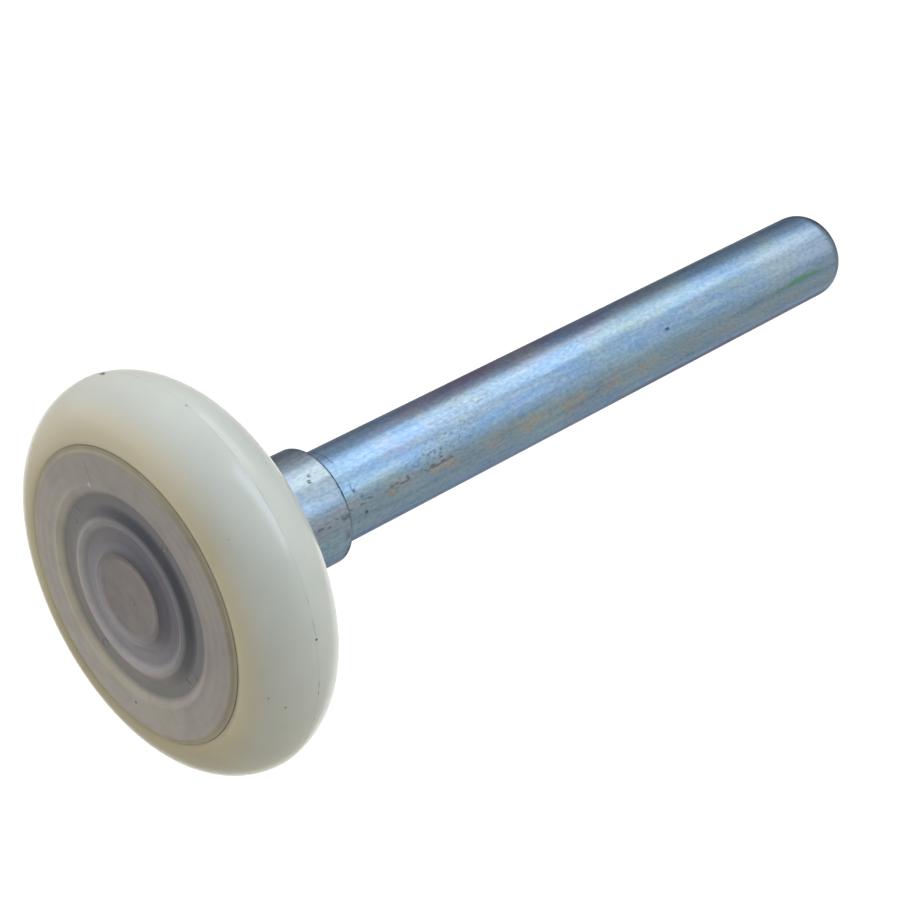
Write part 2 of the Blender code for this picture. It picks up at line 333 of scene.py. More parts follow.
def nylon():
    f = Finish("milky_nylon", Subsurface_Weight=0.3, Subsurface_Scale=0.002, IOR=1.53)
    f.shader.inputs["Subsurface Radius"].default_value = (1.0, 0.85, 0.55)
    cloud = f.noise(90, 4, distortion=0.4)
    white = f.ramp(cloud, [(0.3, paint(202, 206, 200)), (0.7, paint(210, 213, 207))])
    aged = f.ramp(cloud, [(0.3, paint(203, 194, 166)), (0.7, paint(209, 201, 174))])
    near_lip = f.between(f.radius, LIP_RADIUS + 4.6 * MM, LIP_RADIUS + 0.4 * MM)
    front_half = f.between(f.y, WHEEL_Y + 2 * MM, WHEEL_Y - 4 * MM)
    colour = f.mix(f.times(near_lip, front_half), white, aged)
    wide_front = f.between(f.y, WHEEL_Y + 3 * MM, WHEEL_Y - 3 * MM)
    # Painted shade: the tyre's front darker and yellower along the bottom.
    tyre_underside_shade = f.times(f.band(f.turn_from(-96), 0.0, 34.0, 46.0), wide_front)
    colour = f.mix(f.times(tyre_underside_shade, 0.52), colour, paint(166, 156, 124))
    # Painted light: the tyre's front paler at the top, inside the tread's edge.
    tyre_top_light = f.times(f.band(f.turn_from(104), 0.0, 28.0, 40.0), wide_front)
    tyre_top_light = f.times(tyre_top_light, f.between(f.radius, WHEEL_RADIUS - 0.7 * MM, WHEEL_RADIUS - 2.9 * MM))
    colour = f.mix(f.times(tyre_top_light, 0.6), colour, paint(226, 218, 196))
    # Painted shadow: a darker olive ring in the tyre beside the cap's lip, on the right side.
    inner_lip = f.between(f.radius, LIP_RADIUS + 0.75 * MM, LIP_RADIUS + 0.35 * MM)
    lip_shadow = f.times(inner_lip, f.band(f.turn_from(18), 0.0, 32.0, 36.0))
    colour = f.mix(f.times(lip_shadow, 0.85), colour, paint(158, 155, 136))
    across = f.minus(f.y, WHEEL_Y)
    on_tread = f.between(f.radius, WHEEL_RADIUS - 1.0 * MM, WHEEL_RADIUS - 0.4 * MM)
    seam = f.times(f.band(across, 0.0, 0.02 * MM, 0.07 * MM), on_tread)
    worn_side = f.band(f.turn_from(-14), 0.0, 16.0, 22.0)
    broken = f.between(f.noise(420, 4), 0.52, 0.64)
    grime = f.plus(0.2, f.times(worn_side, 0.5))
    seam_dirt = f.plus(0.08, f.times(broken, grime))
    colour = f.mix(f.times(seam, seam_dirt), colour, paint(104, 92, 78))
    crumbs = f.times(f.band(across, 0.1 * MM, 0.25 * MM, 0.3 * MM), f.between(f.cells(1500), 0.22, 0.12))
    crumbs = f.times(f.times(crumbs, on_tread), f.times(worn_side, broken))
    colour = f.mix(f.times(crumbs, 0.6), colour, paint(110, 96, 80))
    freckle = f.times(f.between(f.cells(230), 0.055, 0.03), f.between(f.noise(60, 2), 0.55, 0.62))
    colour = f.mix(f.times(freckle, 0.4), colour, paint(110, 106, 92))
    scuff = f.between(f.noise(1100, 5, f.stretched(1.0, 0.18, 1.0), 1.5), 0.66, 0.74)
    colour = f.mix(f.times(scuff, 0.08), colour, paint(150, 150, 140))
    for angle, radius, y, size, weight in (
        (115.4, 22.81, -0.32, 0.24, 1.0),
        (114.2, 22.80, -0.46, 0.20, 1.0),
        (113.2, 22.79, -0.56, 0.12, 0.9),
        (42.6, 20.74, -4.53, 0.06, 0.25),
        (-7.0, 20.56, -4.69, 0.06, 0.5),
        (-10.1, 21.72, -3.36, 0.07, 0.6),
        (8.8, 22.84, 0.02, 0.10, 0.8),
        (80.1, 22.84, 0.0, 0.07, 0.5),
    ):
        spot = f.near(wheel_point(angle, radius * MM, y * MM), size * MM, 0.1 * MM)
        colour = f.mix(f.times(spot, weight), colour, paint(34, 32, 30))
    rough = f.plus(0.13, f.times(f.noise(260, 4), 0.12))
    skin = f.bump(f.noise(900, 4), 0.004 * MM)
    wave = f.bump(f.noise(120, 2), 0.05 * MM, skin)
    return f.finish(colour, rough, wave)


def cap_plastic():
    """Clouded clear plastic over a dark bearing. Each moulded step has a lit tone and a shaded tone, with
    painted shade towards the upper right.
    """
    f = Finish("clouded_cap_plastic", Subsurface_Weight=0.1, Subsurface_Scale=0.0008, IOR=1.5)
    f.shader.inputs["Subsurface Radius"].default_value = (1.0, 0.85, 0.75)
    # Each moulded step: where it starts and ends, in mm of radius, then its lit tone and its shaded tone,
    # which carry painted light and shade.
    boss = (0.0, 4.2, paint(135, 130, 135), paint(135, 130, 135))
    boss_wall = (4.8, 5.4, paint(170, 165, 175), paint(90, 85, 95))
    thin_floor = (5.9, 7.7, paint(155, 155, 165), paint(110, 110, 125))
    ring = (8.2, 8.9, paint(190, 185, 190), paint(130, 130, 140))
    ring_wall = (9.3, 9.9, paint(160, 155, 160), paint(70, 75, 90))
    groove = (10.5, 11.5, paint(140, 140, 140), paint(120, 120, 130))
    slope = (12.1, 12.6, paint(195, 190, 175), paint(165, 160, 165))
    annulus = (13.0, 16.1, paint(185, 180, 175), paint(165, 160, 160))
    edge = (16.4, 17.0, paint(180, 170, 150), paint(170, 165, 145))
    lit_side_tones = []
    shaded_side_tones = []
    moulded_steps = (boss, boss_wall, thin_floor, ring, ring_wall, groove, slope, annulus, edge)
    for start, end, pale, dark in moulded_steps:
        lit_side_tones += [(start, pale), (end, pale)]
        shaded_side_tones += [(start, dark), (end, dark)]
    outer = 17.0
    reach = f.times(f.radius, 1 / (outer * MM))
    sway = f.times(f.minus(f.noise(170, 3), 0.5), 34.0)

    def tones(stops):
        return f.ramp(reach, [(at / outer, colour) for at, colour in stops], smooth=False)

    # Painted shade: the shaded tones take over towards the upper right and the lit tones towards the lower
    # left; the dark bearing seen through the thin plastic adds to it.
    shaded_side = f.band(f.plus(f.turn_from(45), sway), 0.0, 30.0, 140.0)
    colour = f.mix(shaded_side, tones(lit_side_tones), tones(shaded_side_tones))
    blotch = f.noise(330, 5, distortion=0.6)
    colour = f.mix(f.times(f.between(blotch, 0.42, 0.66), 0.16), colour, paint(112, 108, 114))
    mottle = f.between(f.noise(620, 4, distortion=0.8), 0.40, 0.62)
    disc = f.between(f.radius, 4.9 * MM, 4.2 * MM)
    colour = f.mix(f.times(f.times(mottle, disc), 0.14), colour, paint(176, 166, 160))
    grime = f.between(f.cells(560), 0.07, 0.03)
    sparse = f.between(f.noise(150, 2), 0.60, 0.66)
    colour = f.mix(f.times(f.times(grime, sparse), 0.6), colour, paint(80, 74, 70))
    front = LIP_Y - WHEEL_Y
    speck = f.near(wheel_point(268, 13.9 * MM, front - 0.5 * MM), 0.10 * MM, 0.14 * MM)
    speck = f.larger(speck, f.near(wheel_point(-19, 0.92 * MM, front - 0.6 * MM), 0.06 * MM, 0.16 * MM))
    colour = f.mix(f.times(speck, 0.75), colour, paint(56, 54, 54))
    nub = f.near(wheel_point(14, 0.9 * MM, front - 0.6 * MM), 0.26 * MM, 0.34 * MM)
    colour = f.mix(f.times(nub, 0.2), colour, paint(110, 96, 98))
    gate = f.near(wheel_point(115, 12.75 * MM, front - 0.6 * MM), 0.16 * MM, 0.22 * MM)
    colour = f.mix(f.times(gate, 0.7), colour, paint(222, 202, 200))
    flow = f.times(f.band(f.turn_from(113), 0.0, 0.25, 0.5), f.band(f.radius, 14.2 * MM, 1.0 * MM, 0.8 * MM))
    colour = f.mix(f.times(flow, 0.35), colour, paint(118, 108, 104))
    rough = f.plus(0.24, f.times(blotch, 0.16))
    skin = f.bump(f.noise(1500, 4), 0.006 * MM)
    return f.finish(colour, rough, skin)


def pale_plastic():
    """The cap's plastic where it is thicker and whiter, along the ejector marks."""
    f = Finish("whitened_cap_plastic", Subsurface_Weight=0.1, Subsurface_Scale=0.0008, IOR=1.5)
    f.shader.inputs["Subsurface Radius"].default_value = (1.0, 0.85, 0.75)
    cloud = f.noise(900, 3)
    colour = f.ramp(cloud, [(0.42, paint(128, 129, 140)), (0.60, paint(164, 163, 168))])
    return f.finish(colour, f.plus(0.25, f.times(cloud, 0.2)), f.bump(cloud, 0.01 * MM))


def zinc_plate(name, tip_y=None):
    """Blue zinc plate: clouds drawn out along the bar, straw-coloured roll marks, dark pits and grime, with
    painted light and shade in bands fixed round the bar and a painted shadow at the collar's joint.
    """
    f = Finish(name, metallic=1.0, Specular_Tint=(0.42, 0.43, 0.50, 1.0))
    along = f.stretched(1.0, 0.35, 1.0)
    cloud = f.noise(150, 5, along, 0.6, 0.55)
    colour = f.ramp(cloud, [
        (0.32, paint(146, 166, 172)),
        (0.42, paint(136, 164, 188)),
        (0.52, paint(128, 160, 198)),
        (0.62, paint(140, 164, 188)),
        (0.74, paint(164, 178, 182)),
    ])
    if tip_y is None:
        # The collar's plating greyer all round, and paler on its upper side as a painted highlight.
        grey_and_painted_highlight = f.plus(0.16, f.times(f.band(f.turn_from(72), 0.0, 22.0, 30.0), 0.3))
        colour = f.mix(grey_and_painted_highlight, colour, paint(174, 176, 164))
    lower = f.band(f.turn_from(-25), 0.0, 22.0, 34.0)
    upper = f.band(f.turn_from(112), 0.0, 8.0, 28.0)
    middle = f.band(f.turn_from(12), 0.0, 12.0, 26.0)
    patches = f.between(f.noise(190, 4, along, 0.6), 0.36, 0.62)
    # Teal patches on the lower side: the plating's own tint, and a painted reflection on that side.
    teal_tint_and_reflection = f.times(lower, patches)
    colour = f.mix(f.times(teal_tint_and_reflection, 0.6), colour, paint(150, 184, 198))
    # Painted reflection: a paler blue band along the side facing +X.
    under = f.band(f.turn_from(-4), 0.0, 16.0, 22.0)
    colour = f.mix(f.times(under, 0.4), colour, paint(162, 190, 218))
    # Painted shade: a dark band along the underside, stronger from 25 to 55 mm, fading out towards the axis.
    bar_underside_shade = f.band(f.turn_from(-54), 0.0, 20.0, 11.0)
    underside_shade_strength = f.plus(0.4, f.times(f.between(f.y, 25 * MM, 55 * MM), 0.4))
    bar_underside_shade = f.times(bar_underside_shade, f.between(f.radius, 3.6 * MM, 5.2 * MM))
    colour = f.mix(f.times(bar_underside_shade, underside_shade_strength), colour, paint(72, 68, 92))
    if tip_y is None:
        # Painted shade: the collar darker and bluer along its top.
        colour = f.mix(f.times(upper, 0.5), colour, paint(104, 112, 140))
    else:
        # Painted highlight: the upper side paler towards the tip.
        towards_end = f.between(f.y, tip_y - 22 * MM, tip_y - 8 * MM)
        painted_tip_highlight = f.times(towards_end, f.band(f.turn_from(52), 0.0, 10.0, 22.0))
        colour = f.mix(f.times(painted_tip_highlight, 0.4), colour, paint(184, 196, 212))
    # Violet patches along the top from 18 to 46 mm: the plating's tint, and painted shade of the top edge.
    violet_tint_and_top_shade = f.times(f.times(upper, f.band(f.y, 32 * MM, 14 * MM, 16 * MM)), patches)
    colour = f.mix(f.times(violet_tint_and_top_shade, 0.7), colour, paint(134, 114, 152))
    rosy = f.between(f.noise(240, 5, along, 1.0), 0.56, 0.70)
    colour = f.mix(f.times(rosy, 0.25), colour, paint(176, 160, 170))
    streaks = f.noise(1.0, 4, f.stretched(1500, 90, 1500), 0.0, 0.6)
    colour = f.mix(f.times(f.between(streaks, 0.50, 0.68), 0.26), colour, paint(92, 116, 146))
    colour = f.mix(f.times(f.between(streaks, 0.50, 0.32), 0.22), colour, paint(190, 204, 210))

    flecks = f.between(f.noise(1.0, 4, f.stretched(3400, 1500, 3400), 0.0, 0.6), 0.48, 0.58)
    step = f.math("FRACT", f.plus(f.times(f.y, 1 / (6.9 * MM)), 0.26))
    from_mark = f.times(f.minus(step, 0.5), 4.6)
    lane = f.minus(f.turn_from(9), f.times(f.minus(f.y, 28 * MM), -300.0))
    off_lane = f.times(lane, 0.17)
    near_mark = f.plus(f.times(from_mark, from_mark), f.times(off_lane, off_lane))
    ragged = f.times(f.minus(f.noise(420, 4, along, 1.0), 0.5), 16.0)
    mark = f.between(f.plus(near_mark, ragged), 4.6, 0.2)
    if tip_y is None:
        mark = 0.0
    scattered = f.times(middle, f.between(f.noise(300, 4, along, 1.0), 0.52, 0.66))
    towards_tip = f.between(f.y, 40 * MM, 64 * MM)
    mark = f.times(mark, f.minus(0.80, f.times(towards_tip, 0.42)))
    straw = f.larger(mark, f.times(scattered, 0.16))
    straw = f.times(straw, f.plus(0.18, f.times(flecks, 0.82)))
    colour = f.mix(straw, colour, paint(192, 178, 158))
    grain = f.noise(1.0, 3, f.stretched(3600, 1500, 3600))
    colour = f.mix(f.times(f.between(grain, 0.5, 0.70), 0.26), colour, paint(84, 106, 134))
    colour = f.mix(f.times(f.between(grain, 0.5, 0.32), 0.18), colour, paint(200, 212, 222))

    low_side = f.band(f.turn_from(8), 0.0, 26.0, 26.0)
    near_collar = f.times(f.between(f.y, 26 * MM, 4 * MM), low_side)
    crowded = f.plus(f.noise(150, 4, along, 0.8), f.times(near_collar, 0.11 if tip_y else 0.04))
    crowded = f.plus(crowded, f.times(low_side, 0.06))
    crowded = f.between(crowded, 0.58, 0.76)
    dashes = f.between(f.noise(1.0, 3, f.stretched(3100, 1300, 3100), 0.3, 0.6), 0.59, 0.66)
    fine_dashes = f.between(f.noise(1.0, 2, f.stretched(5200, 2200, 5200)), 0.58, 0.70)
    dirt_and_joint_shade = f.larger(f.times(dashes, 0.5), f.times(fine_dashes, 0.6))
    dirt_and_joint_shade = f.times(dirt_and_joint_shade, crowded)
    scrape = f.times(f.band(f.turn_from(17), 0.0, 1.2, 3.0), f.between(f.y, 21 * MM, 15 * MM))
    scrape = f.times(scrape, f.between(f.noise(1.0, 4, f.stretched(2200, 900, 2200)), 0.46, 0.60))
    dirt_and_joint_shade = f.larger(dirt_and_joint_shade, f.times(scrape, 0.55))
    if tip_y is not None:
        wavy = f.plus(f.y, f.times(f.minus(f.noise(700, 3), 0.5), 0.5 * MM))
        # Painted shadow: a dark wavy line on the bar right beside the collar's end, where the two parts
        # meet.
        joint_shadow = f.between(wavy, 0.60 * MM, 0.22 * MM)
        joint_shadow = f.times(joint_shadow, f.plus(0.6, f.times(f.noise(900, 3), 0.6)))
        ring_breaks = f.between(f.noise(800, 4), 0.47, 0.58)
        ring = f.times(f.band(wavy, 2.0 * MM, 0.05 * MM, 0.12 * MM), ring_breaks)
        dash_width = f.band(f.turn_from(36), 0.0, 1.2, 1.4)
        dash = f.times(f.band(f.y, tip_y - 34.2 * MM, 0.2 * MM, 0.3 * MM), dash_width)
        for spot, weight in ((joint_shadow, 0.9), (ring, 0.5), (dash, 0.8)):
            dirt_and_joint_shade = f.larger(dirt_and_joint_shade, f.times(spot, weight))
        places = ((19, 9.6), (32, 15.3), (4, 3.1), (24, 2.9), (34, 2.2))
        spots = [(STEM_RADIUS, angle, y) for angle, y in places]
    else:
        # Painted shadow: a dark broken line round the collar's rear edge where it meets the bar, with grime
        # blotches beside it on the side facing +X.
        rim = f.between(f.y, -0.50 * MM, -0.18 * MM)
        wide_rim = f.between(f.y, -1.6 * MM, -0.4 * MM)
        rim_blotches = f.between(f.noise(620, 4), 0.50, 0.60)
        rim_shade_and_dirt = f.times(rim, f.plus(0.45, f.times(rim_blotches, 0.5)))
        blotches = f.times(f.times(wide_rim, rim_blotches), f.band(f.turn_from(-6), 0.0, 20.0, 20.0))
        rim_shade_and_dirt = f.larger(rim_shade_and_dirt, f.times(blotches, 0.6))
        dirt_and_joint_shade = f.larger(dirt_and_joint_shade, rim_shade_and_dirt)
        spots = ((COLLAR_RADIUS, 66, -2.6), (COLLAR_RADIUS, 61, -3.1))
    splinters = f.noise(1.0, 2, f.stretched(4600, 1500, 4600))
    for radius, angle, y in spots:
        turn = math.radians(angle)
        place = (radius * math.cos(turn), y * MM, radius * math.sin(turn))
        edge = f.plus(0.4, f.times(f.between(splinters, 0.42, 0.56), 0.6))
        pit = f.times(f.near(place, 0.08 * MM, 0.30 * MM), edge)
        dirt_and_joint_shade = f.larger(dirt_and_joint_shade, f.times(pit, 0.9))
    # The dark colour of pits, specks, grime and the painted joint shadow.
    colour = f.mix(f.times(dirt_and_joint_shade, 0.85), colour, paint(38, 42, 58))
    if tip_y is not None:
        reach = f.band(f.y, tip_y - 9.5 * MM, 3.6 * MM, 1.6 * MM)
        climb = f.times(f.minus(f.y, tip_y - 13 * MM), 120.0)
        slant = f.minus(f.turn_from(14), climb)
        streak = f.times(reach, f.band(slant, 0.0, 1.5, 4.0))
        streak = f.times(streak, f.between(f.noise(1.0, 3, f.stretched(1900, 300, 1900)), 0.40, 0.56))
        colour = f.mix(f.times(streak, 0.7), colour, paint(96, 166, 108))
    rough = f.plus(0.24, f.times(f.noise(500, 4, along), 0.14))
    rough = f.plus(rough, f.times(dirt_and_joint_shade, 0.25))
    drawn = f.bump(streaks, 0.008 * MM)
    grained = f.bump(grain, 0.003 * MM, drawn)
    pitted = f.bump(f.minus(1.0, dirt_and_joint_shade), 0.02 * MM, grained)
    return f.finish(colour, rough, pitted)


def turned_steel(name, colour, roughness, ring_scale=2400.0):
    """Ground or pressed bearing steel with fine circular lines."""
    f = Finish(name, metallic=1.0)
    lines = f.noise(1.0, 4, f.times(f.radius, ring_scale))
    smudge = f.noise(260, 4, distortion=0.7)
    tone = f.mix(f.times(f.between(smudge, 0.4, 0.7), 0.25), colour, paint(120, 112, 100))
    tone = f.mix(f.times(f.between(lines, 0.45, 0.7), 0.15), tone, paint(90, 92, 98))
    rough = f.plus(roughness, f.times(smudge, 0.15))
    return f.finish(tone, rough, f.bump(lines, 0.006 * MM))


def dress(obj, material):
    obj.data.materials.clear()
    obj.data.materials.append(material)
    return obj


# ---------------------------------------------------------------- the wheel


def make_tyre():
    """Crowned rim: a superellipse tread between two lips, a recess for the cap and the bearing's seat."""
    depth = 5.1 * MM
    power = 1.83
    half = TYRE_HALF_WIDTH
    flash_height = 0.012 * MM
    crown_radius = WHEEL_RADIUS - flash_height
    steps = 96
    crown = []
    for i in range(steps + 1):
        angle = math.pi * (i / steps - 0.5)
        y = math.copysign(abs(math.sin(angle)) ** (2 / power), angle) * half
        rise = abs(math.cos(angle)) ** (2 / power) * depth
        if i == steps // 2:
            for side in (-1, 0, 1):
                crown.append((crown_radius + (flash_height if side == 0 else 0), side * 0.06 * MM))
            continue
        crown.append((crown_radius - depth + rise, y))
    crown = shifted(crown, WHEEL_Y)
    bore = RING_RADIUS + 0.05 * MM
    seat_front = BEARING_Y - BEARING_HALF
    seat_rear = BEARING_Y + BEARING_HALF + 0.05 * MM
    lip_drop = LIP_Y - (WHEEL_Y - half)
    lip_run = crown[0][0] - LIP_RADIUS
    lip = []
    for i in range(7):
        angle = math.pi / 2 * i / 6
        lip.append((crown[0][0] - lip_run * math.cos(angle), LIP_Y - lip_drop * math.sin(angle)))
    rear_face = WHEEL_Y + 5.7 * MM
    hole = 14.0 * MM
    back = rounded(
        [
            (crown[-1][0] - 0.6 * MM, crown[-1][1] - 0.03 * MM),
            (LIP_RADIUS, rear_face),
            (hole, rear_face),
            (hole, seat_rear),
            (bore, seat_rear),
            (bore, seat_front),
            (LIP_RADIUS - 0.25 * MM, seat_front),
        ],
        [0, 0.5 * MM, 0.25 * MM, 0.2 * MM, 0.05 * MM, 0.2 * MM, 0.15 * MM],
    )
    outline = lip[:-1] + crown + back
    tyre = object_from("nylon_tyre", turned(outline, FINE_STEPS), "wheel", "tyre")
    return dress(tyre, nylon())


def cap_front(radius, height):
    """A point on the cap, from its radius and its height above the plane of the tyre's lip, in mm."""
    return (radius * MM, LIP_Y - height * MM)


def make_cap(plastic):
    """Pressed-in dust cap: a flat annulus, a wide groove, a raised ring, a thin floor and a dished boss."""
    back = BEARING_Y - BEARING_HALF - 0.25 * MM
    edge = LIP_RADIUS + 0.01 * MM
    flange = [(edge, back), (edge, LIP_Y - 0.17 * MM), cap_front(16.6, 0.24), cap_front(16.35, 0.5)]
    annulus = []
    for i in range(17):
        radius = 16.1 - 3.1 * i / 16
        ripple = 0.016 * math.cos(math.tau * (radius - 12.9) / 1.15)
        annulus.append(cap_front(radius, 0.53 - 0.03 * i / 16 + ripple))
    rim = [cap_front(12.66, 0.60), cap_front(12.32, 0.46)]
    groove = [cap_front(11.5, 0.0), cap_front(10.3, -0.03)]
    ring = [cap_front(8.98, 0.55), cap_front(8.6, 0.68), cap_front(8.25, 0.54)]
    floor = [cap_front(7.65, 0.14), cap_front(6.4, 0.13)]
    boss = [cap_front(5.5, 0.74), cap_front(5.22, 0.84), cap_front(4.92, 0.76), cap_front(4.1, 0.6)]
    dish = [cap_front(0.9, 0.57), cap_front(0.42, 0.565), cap_front(0.28, 0.58), cap_front(0.0, 0.585)]
    inside = [
        cap_front(0.0, -0.04),
        cap_front(4.1, -0.02),
        cap_front(5.0, 0.16),
        cap_front(5.3, 0.14),
        cap_front(6.2, -0.48),
        cap_front(7.75, -0.48),
        cap_front(8.4, -0.06),
        cap_front(8.8, -0.06),
        cap_front(10.1, -0.64),
        cap_front(11.7, -0.62),
        (11.9 * MM, back),
    ]
    groups = [
        (flange, [0.05 * MM, 0.0, 0.16 * MM, 0.2 * MM]),
        (annulus, 0.0),
        (rim, [0.35 * MM, 0.3 * MM]),
        (groove, [0.3 * MM, 0.8 * MM]),
        (ring, [0.5 * MM, 0.35 * MM, 0.4 * MM]),
        (floor, 0.6 * MM),
        (boss, [0.4 * MM, 0.28 * MM, 0.4 * MM, 0.8 * MM]),
        (dish, [0.5 * MM, 0.1 * MM, 0.08 * MM, 0.0]),
        (inside, 0.15 * MM),
    ]
    points = []
    corners = []
    for group, corner in groups:
        points += group
        corners += corner if isinstance(corner, list) else [corner] * len(group)
    shape = turned(rounded(points, corners, 6), FINE_STEPS)
    return dress(object_from("cap", shape, "wheel", "dust_cap"), plastic)


def loop_ridge(name, path, thickness, plastic):
    """A thin raised line on the cap's groove floor, along a closed path of points in the wheel's plane."""
    shape = bmesh.new()
    sides = 8
    rings = []
    count = len(path)
    for i in range(count):
        here = Vector(path[i])
        along = (Vector(path[(i + 1) % count]) - Vector(path[i - 1])).normalized()
        out = along.cross(Vector((0, 1, 0)))
        ring = []
        for k in range(sides):
            angle = math.tau * k / sides
            offset = out * math.cos(angle) + Vector((0, math.sin(angle), 0))
            ring.append(shape.verts.new(here + offset * thickness))
        rings.append(ring)
    for here, there in zip(rings, rings[1:] + rings[:1]):
        for k in range(sides):
            nxt = (k + 1) % sides
            shape.faces.new((here[k], here[nxt], there[nxt], there[k]))
    ridge = object_from(name, shape, "wheel", None)
    return dress(ridge, plastic)


def make_mould_marks(plastic):
    """Ejector marks in the cap's groove, a quarter turn apart: two round ones and two square ones."""
    middle = 10.88 * MM
    floor_y = LIP_Y + 0.01 * MM
    for i in range(4):
        turn = math.radians(57 + 90 * i)
        out = Vector((math.cos(turn), 0, math.sin(turn)))
        side = Vector((-math.sin(turn), 0, math.cos(turn)))
        centre = out * middle + Vector((0, floor_y, 0))
        half = 0.85 * MM if i % 2 else 0.5 * MM
        corner = 0.26 * MM if i % 2 else half
        straight = half - corner
        path = []
        for k in range(32):
            angle = math.tau * (k + 0.5) / 32
            push_out = math.copysign(straight, math.sin(angle))
            push_side = math.copysign(straight, math.cos(angle))
            reach_out = out * (corner * math.sin(angle) + push_out)
            reach_side = side * (corner * math.cos(angle) + push_side)
            path.append(centre + reach_out + reach_side)
        loop_ridge(f"cap_mould_mark_{i + 1}", path, 0.06 * MM, plastic)


# ---------------------------------------------------------------- the bearing


def race(shoulder, race_radius, steps):
    side = 1 if shoulder > PITCH_RADIUS else -1
    reach = math.degrees(math.acos(abs(shoulder - PITCH_RADIUS) / race_radius))
    return [(PITCH_RADIUS + side * out, y) for out, y in arc((0, 0), race_radius, reach, -reach, steps)]


def make_rings(steel):
    race_radius = BALL_RADIUS + 0.06 * MM
    half = BEARING_HALF
    seat = half - 1.2 * MM
    corner = 0.5 * MM
    fine = 0.12 * MM
    shield_edge = 13.2 * MM
    outer_shoulder = 11.6 * MM
    rear = rounded(
        [
            (RING_RADIUS, 0.0),
            (RING_RADIUS, half),
            (shield_edge, half),
            (shield_edge, seat),
            (outer_shoulder, seat),
            (outer_shoulder, 0.0),
        ],
        [0.0, corner, fine, fine, fine, 0.0],
    )[1:-1]
    front = [(radius, -y) for radius, y in reversed(rear)]
    outer = shifted(rear + race(outer_shoulder, race_radius, RACE_STEPS) + front, BEARING_Y)
    shape = turned(outer, RING_STEPS)
    dress(object_from("bearing_outer_ring", shape, "wheel", "outer_ring"), steel)
    bore = 5.0 * MM
    shoulder = 8.4 * MM
    sink = SWAGE_RADIUS + 0.05 * MM
    corners = rounded(
        [(bore, 0.0), (bore, half), (shoulder, half), (shoulder, 0.0)], [0.0, corner, corner, 0.0]
    )[1:-1]
    nose = rounded(
        [(shoulder, 0.0), (shoulder, -half), (sink, -half), (bore, -half + 0.95 * MM), (bore, 0.0)],
        [0.0, corner, fine, fine, 0.0],
    )[1:-1]
    inner = shifted(corners + race(shoulder, race_radius, RACE_STEPS) + nose, BEARING_Y)
    shape = turned(inner, RING_STEPS)
    dress(object_from("bearing_inner_ring", shape, "stem_assembly", "inner_ring"), steel)


def make_shields(steel):
    """Pressed steel discs: a curled rim crimped in the outer ring, a step, and a turned-in inner edge."""
    half = BEARING_HALF
    outline = [
        (13.05, -0.12), (13.05, -0.95), (12.2, -0.95), (11.9, -0.85), (10.4, -0.85), (10.15, -0.98),
        (9.4, -0.98), (9.0, -1.2), (8.62, -1.25), (8.62, -0.9), (8.85, -0.85), (9.35, -0.6), (10.25, -0.6),
        (10.5, -0.45), (12.0, -0.45), (12.3, -0.5), (12.45, -0.12),
    ]
    for name, node, side in (("shield_rear", "rear_shield", 1), ("shield_front", "front_shield", -1)):
        points = [(radius * MM, side * (half + y * MM)) for radius, y in outline]
        points = shifted(rounded(points, 0.14 * MM), BEARING_Y)
        dress(object_from(name, turned(points, RING_STEPS), "wheel", node), steel)


def make_balls(steel):
    shape = bmesh.new()
    bmesh.ops.create_icosphere(shape, subdivisions=4, radius=BALL_RADIUS)
    mesh = bpy.data.meshes.new("polished_ball")
    shape.to_mesh(mesh)
    shape.free()
    mesh.shade_smooth()
    mesh.materials.append(steel)
    for i in range(1, BALL_COUNT + 1):
        low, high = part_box(f"ball_{i}")
        where = Matrix.Translation((low + high) / 2)
        placed(f"polished_ball_{i}", mesh, f"ball_{i}_body", f"ball_{i}", where)


